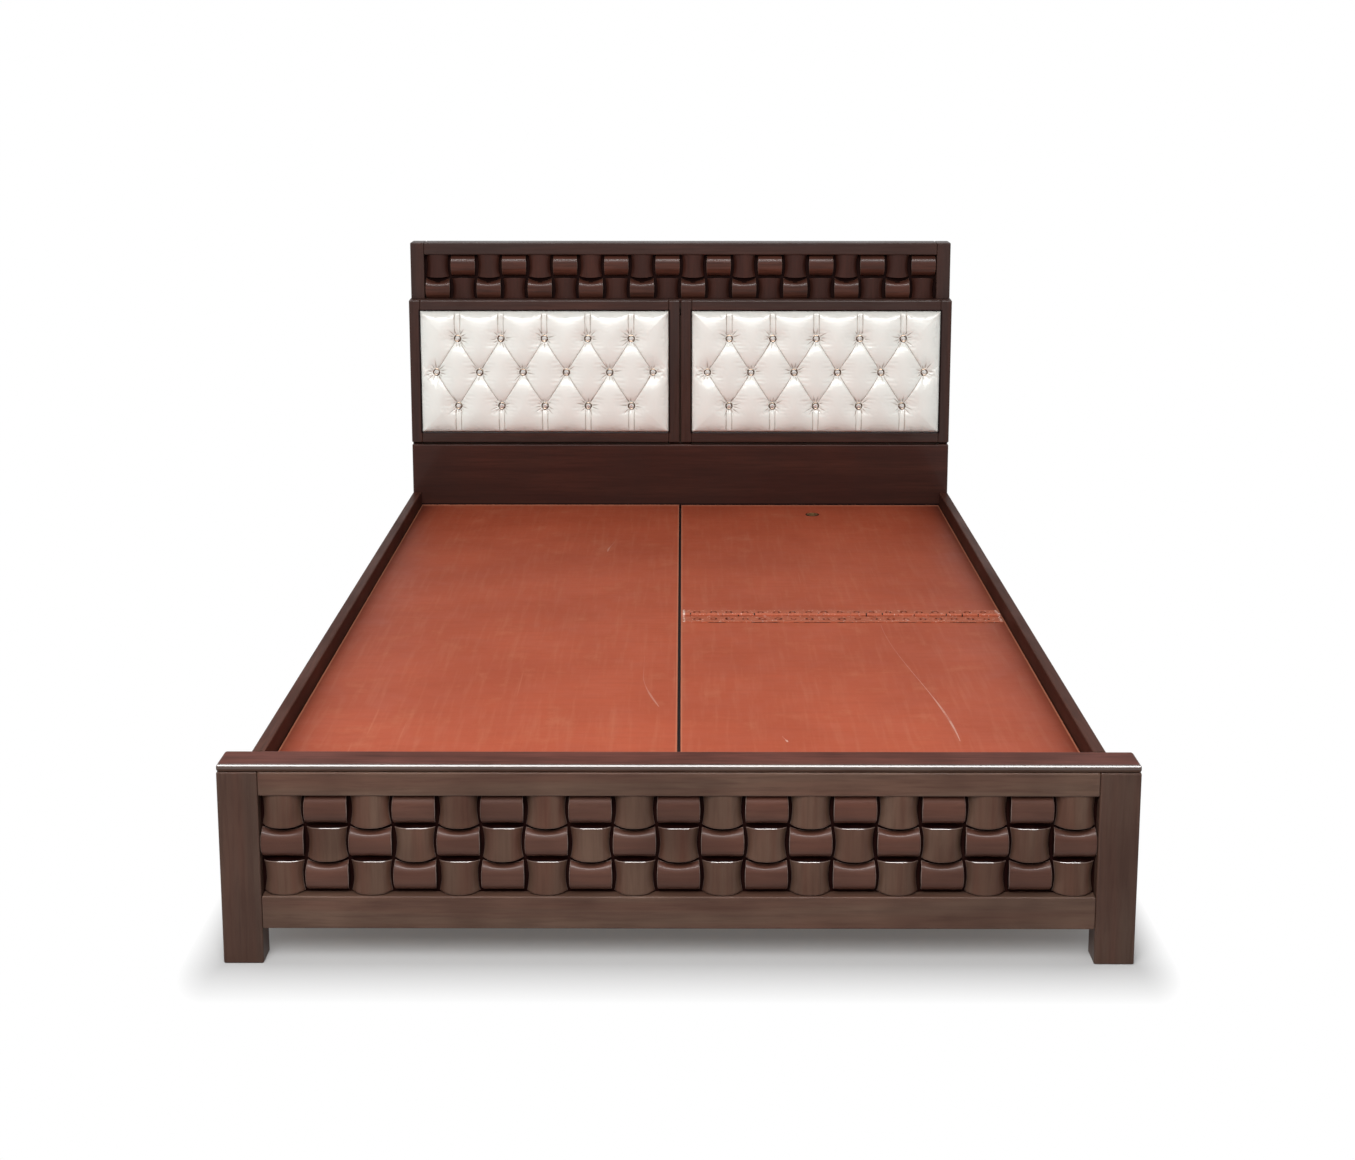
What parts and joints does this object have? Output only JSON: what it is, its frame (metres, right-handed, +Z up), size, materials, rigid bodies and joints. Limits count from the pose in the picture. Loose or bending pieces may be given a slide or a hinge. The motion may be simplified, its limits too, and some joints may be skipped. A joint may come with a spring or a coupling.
{
  "type": "storage bed",
  "caption": "Box storage bed with woven-block footboard and headboard, a hinged platform lid over the well and button-tufted drop-front doors in the headboard.",
  "frame": {"origin": "on the floor, under the middle of the bed's overall box", "axes": "+Y from the footboard to the headboard, +Z up, +X to the right seen from the foot end"},
  "size_m": [1.6898, 2.1797, 1.1279],
  "materials": {
    "dark_walnut": "semi-gloss dark walnut polish",
    "red_painted_ply": "satin red oxide paint on plywood",
    "bare_ply": "bare plywood",
    "pine_batten": "planed pine",
    "pearl_leatherette": "pearl off-white leatherette with a soft gloss",
    "zinc_steel": "zinc plated",
    "red_painted_steel": "painted over with the platform",
    "bronzed_steel": "dark bronzed steel",
    "catch_plastic": "matte brown"
  },
  "bodies": {
    "bed_frame": {"foot_post_left": "dark_walnut", "foot_post_right": "dark_walnut", "foot_cap_rail": "dark_walnut", "foot_upper_rail": "dark_walnut", "foot_lower_rail": "dark_walnut", "foot_woven_panel": "dark_walnut", "foot_bearer": "pine_batten", "side_rail_left": "dark_walnut", "side_rail_right": "dark_walnut", "side_bearer_left": "pine_batten", "side_bearer_right": "pine_batten", "foot_bracket_left": "zinc_steel", "foot_bracket_right": "zinc_steel", "head_bracket_left": "zinc_steel", "head_bracket_right": "zinc_steel", "well_floor_left": "bare_ply", "well_floor_right": "bare_ply", "centre_beam": "pine_batten", "centre_leg": "pine_batten", "cross_bearer": "pine_batten", "platform_left": "red_painted_ply", "platform_right_front": "red_painted_ply", "lid_hinge_fixed_leaf": "red_painted_steel", "lid_hinge_pin": "zinc_steel", "head_post_left": "dark_walnut", "head_post_right": "dark_walnut", "head_top_rail": "dark_walnut", "head_mid_rail": "dark_walnut", "head_woven_panel": "dark_walnut", "head_back_panel": "bare_ply", "head_ledge": "dark_walnut", "head_cheek_left": "dark_walnut", "head_cheek_right": "dark_walnut", "head_bay_floor": "dark_walnut", "head_bay_divider": "dark_walnut", "head_lower_panel": "dark_walnut", "head_bearer": "pine_batten", "door_catch": "catch_plastic", "door_left_hinge_fixed_leaf": "bronzed_steel", "door_right_hinge_fixed_leaf": "bronzed_steel"},
    "platform_lid": {"lid": "red_painted_ply", "lid_hinge_moving_leaf": "red_painted_steel", "lid_finger_ring": "zinc_steel"},
    "left_door": {"door_left_inner_stile": "dark_walnut", "door_left_outer_stile": "dark_walnut", "door_left_bottom_rail": "dark_walnut", "door_left_top_rail": "dark_walnut", "door_left_back_board": "bare_ply", "door_left_pad": "pearl_leatherette", "door_left_strike": "zinc_steel", "door_left_hinge_moving_leaf": "bronzed_steel"},
    "right_door": {"door_right_inner_stile": "dark_walnut", "door_right_outer_stile": "dark_walnut", "door_right_bottom_rail": "dark_walnut", "door_right_top_rail": "dark_walnut", "door_right_back_board": "bare_ply", "door_right_pad": "pearl_leatherette", "door_right_strike": "zinc_steel", "door_right_hinge_moving_leaf": "bronzed_steel"}
  },
  "joints": [
    {"name": "lid_hinge", "type": "hinge", "parent": "bed_frame", "child": "platform_lid", "pos_m": [0.38488, -0.093, 0.35415], "axis": [1, 0, 0], "range_deg": [0, 177]},
    {"name": "left_door_hinge", "type": "hinge", "parent": "bed_frame", "child": "left_door", "pos_m": [-0.3985, 0.98, 0.5365], "axis": [1, 0, 0], "range_deg": [0, 90]},
    {"name": "right_door_hinge", "type": "hinge", "parent": "bed_frame", "child": "right_door", "pos_m": [0.3985, 0.98, 0.5365], "axis": [1, 0, 0], "range_deg": [0, 90]}
  ]
}
